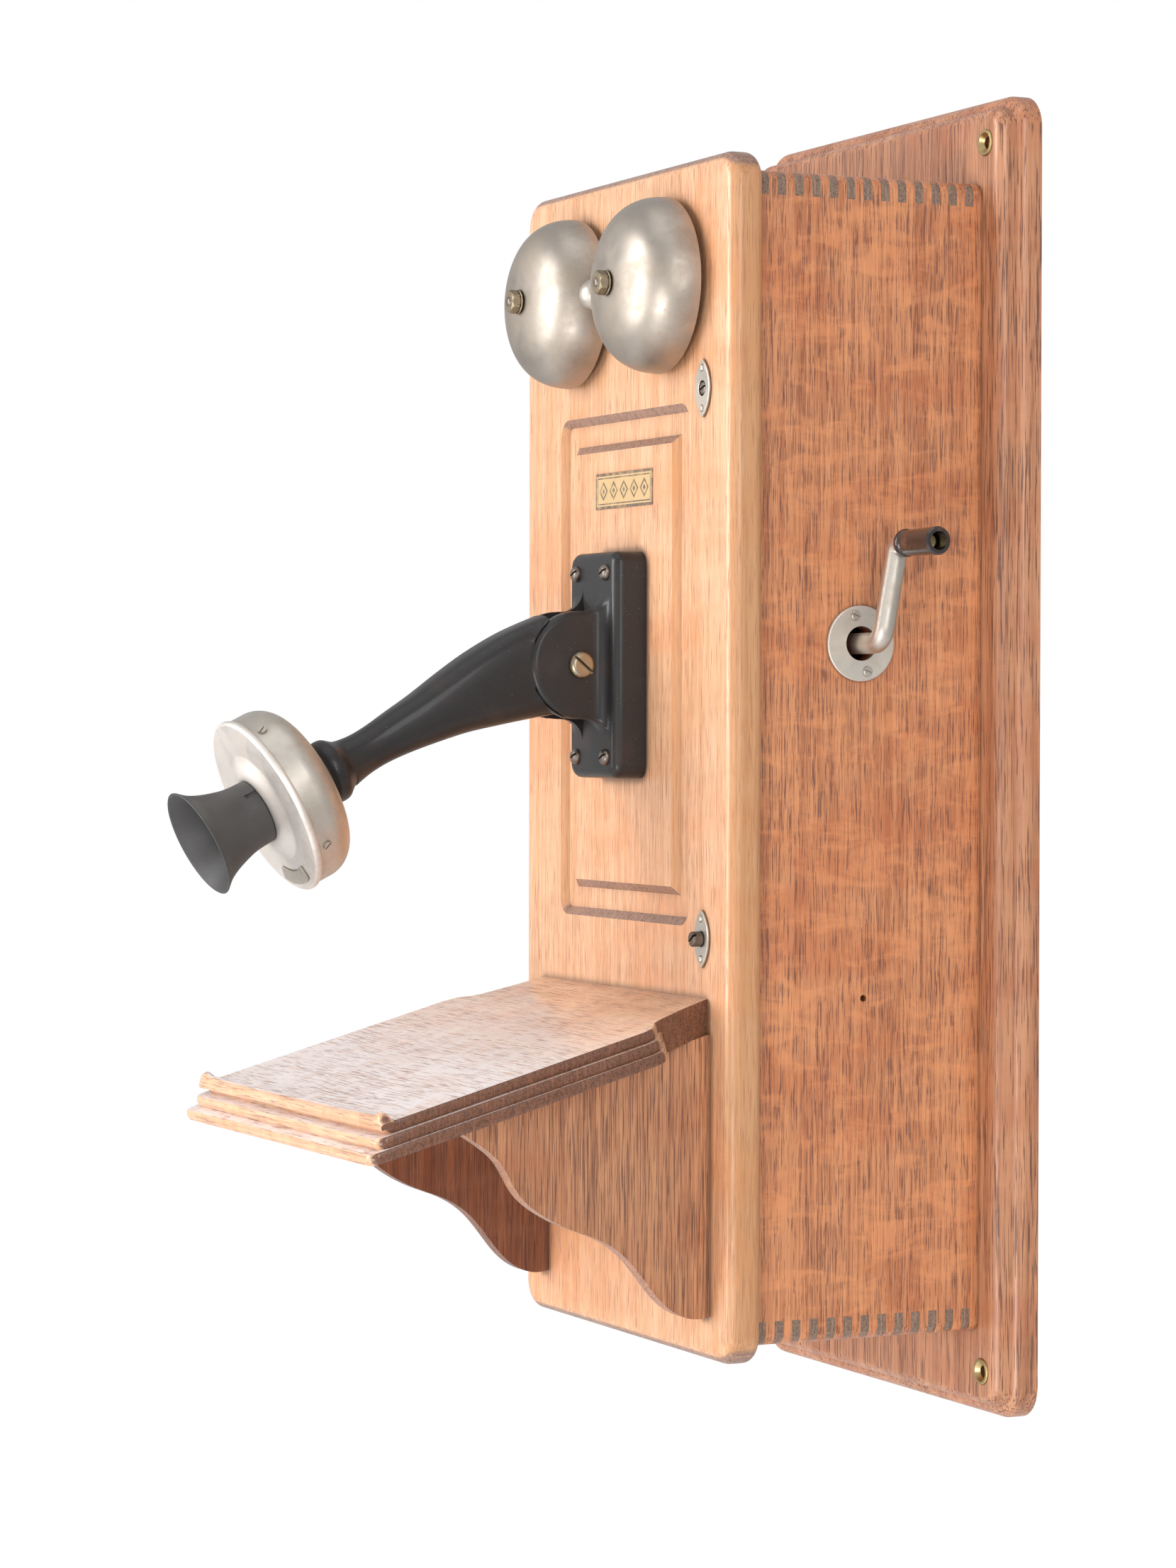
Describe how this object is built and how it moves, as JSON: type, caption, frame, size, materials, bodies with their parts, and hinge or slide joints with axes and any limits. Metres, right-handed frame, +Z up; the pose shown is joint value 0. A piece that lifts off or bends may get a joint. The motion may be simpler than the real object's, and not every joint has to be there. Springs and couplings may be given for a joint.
{
  "type": "wall telephone",
  "caption": "Oak cased magneto wall telephone with a hinged front door, gongs, tilting transmitter arm, writing shelf, side crank, switch hook and hanging receiver.",
  "frame": {"origin": "middle of the backboard's back face, on the wall", "axes": "+X to the right as seen from the room, +Y into the wall, +Z up"},
  "size_m": [0.3273, 0.3592, 0.582],
  "materials": {
    "oak_board": "satin shellac, coarse vertical grain",
    "oak_case": "satin shellac, quartersawn figure",
    "oak_case_end": "satin shellac, dark end grain",
    "oak_door": "satin shellac, fine vertical grain",
    "oak_shelf": "worn shellac, pale on top",
    "oak_bracket": "satin shellac, dark straight grain",
    "plain_wood": "bare",
    "nickel": "aged nickel plate",
    "aged_brass": "tarnished",
    "dark_brass": "tarnished brown",
    "clean_brass": "bright",
    "dark_steel": "blued and worn",
    "dark_iron": "japanned iron",
    "magnet_steel": "black lacquer on steel",
    "black_enamel": "gloss japan",
    "black_rubber": "matte hard rubber",
    "gloss_rubber": "polished hard rubber",
    "winding": "varnished paper wrap",
    "zinc": "dull",
    "card_tube": "plain card sleeve",
    "label": null
  },
  "bodies": {
    "cabinet": {"backboard": "oak_board", "screw_cups": "aged_brass", "case_side_left": "oak_case", "case_side_right": "oak_case", "case_top": "oak_case_end", "case_bottom": "oak_case_end", "inner_shelf": "plain_wood", "shelf_cleats": "plain_wood", "hinge_case_leaves": "aged_brass", "hinge_pins": "aged_brass", "latch_keepers": "dark_steel", "crank_escutcheon": "nickel", "escutcheon_screws": "nickel", "generator_frame": "clean_brass", "pole_pieces": "dark_iron", "generator_magnets": "magnet_steel", "hook_bracket": "dark_steel", "hook_contact_springs": "clean_brass", "induction_coil": "winding", "condenser": "zinc", "dry_cells": "card_tube"},
    "door": {"door_board": "oak_door", "door_label": "label", "hinge_door_leaves": "aged_brass", "gongs": "nickel", "gong_posts": "dark_steel", "gong_nuts": "dark_brass", "ringer_frame": "dark_iron", "ringer_coils": "winding", "ringer_magnet": "magnet_steel", "latch_plates": "nickel", "latch_rivets": "nickel", "transmitter_bracket": "black_enamel", "bracket_screws": "dark_steel", "pivot_screw": "dark_brass", "writing_shelf": "oak_shelf", "shelf_bracket_left": "oak_bracket", "shelf_bracket_right": "oak_bracket"},
    "clapper": {"clapper": "nickel"},
    "latch_upper": {"latch_screw_upper": "dark_steel"},
    "latch_lower": {"latch_screw_lower": "dark_steel"},
    "transmitter": {"transmitter_arm": "black_enamel", "transmitter_cup": "nickel", "transmitter_faceplate": "nickel", "faceplate_screws": "nickel", "transmitter_badge": "nickel", "transmitter_diaphragm": "zinc", "transmitter_button": "clean_brass", "mouthpiece": "black_rubber"},
    "crank": {"crank_arm": "nickel", "grip_rivet": "aged_brass", "crank_shaft": "dark_steel", "drive_gear": "clean_brass"},
    "grip": {"crank_grip": "gloss_rubber"},
    "armature": {"generator_armature": "dark_iron", "armature_pinion": "clean_brass"},
    "hook": {"hook_lever": "nickel"},
    "receiver": {"receiver_shell": "gloss_rubber", "receiver_cap": "gloss_rubber", "receiver_magnet": "magnet_steel"}
  },
  "joints": [
    {"name": "door_swing", "type": "hinge", "parent": "cabinet", "child": "door", "pos_m": [-0.1032, -0.127, 0], "axis": [0, 0, -1], "range_deg": [0, 100]},
    {"name": "clapper_rock", "type": "hinge", "parent": "door", "child": "clapper", "pos_m": [0, -0.112, 0.153], "axis": [0, 1, 0], "range_deg": [-1.6, 1.6], "stiffness_Nm_per_rad": 0.08},
    {"name": "latch_upper_turn", "type": "hinge", "parent": "door", "child": "latch_upper", "pos_m": [0.08, -0.1305, 0.1596], "axis": [0, 1, 0], "range_deg": [0, 90]},
    {"name": "latch_lower_turn", "type": "hinge", "parent": "door", "child": "latch_lower", "pos_m": [0.08, -0.1305, -0.0777], "axis": [0, 1, 0], "range_deg": [0, 90]},
    {"name": "transmitter_tilt", "type": "hinge", "parent": "door", "child": "transmitter", "pos_m": [0, -0.1743, 0.041], "axis": [-1, 0, 0], "range_deg": [-20, 30]},
    {"name": "crank_turn", "type": "hinge", "parent": "cabinet", "child": "crank", "pos_m": [0.0995, -0.0807, 0.05], "axis": [1, 0, 0], "continuous": true},
    {"name": "armature_spin", "type": "hinge", "parent": "cabinet", "child": "armature", "pos_m": [0, -0.0807, 0.014], "axis": [1, 0, 0], "continuous": true},
    {"name": "grip_spin", "type": "hinge", "parent": "crank", "child": "grip", "pos_m": [0.14, -0.07472, 0.09258], "axis": [1, 0, 0], "continuous": true},
    {"name": "hook_lift", "type": "hinge", "parent": "cabinet", "child": "hook", "pos_m": [-0.072, -0.075, 0.058], "axis": [0, 1, 0], "range_deg": [0, 9], "stiffness_Nm_per_rad": 0.3, "springref_deg": 14.32},
    {"name": "receiver_off", "type": "slide", "parent": "hook", "child": "receiver", "axis": [-1, 0, 0], "range_m": [0, 0.1]}
  ],
  "couplings": [
    {"joint": "armature_spin", "follows": "crank_turn", "ratio": -5}
  ]
}
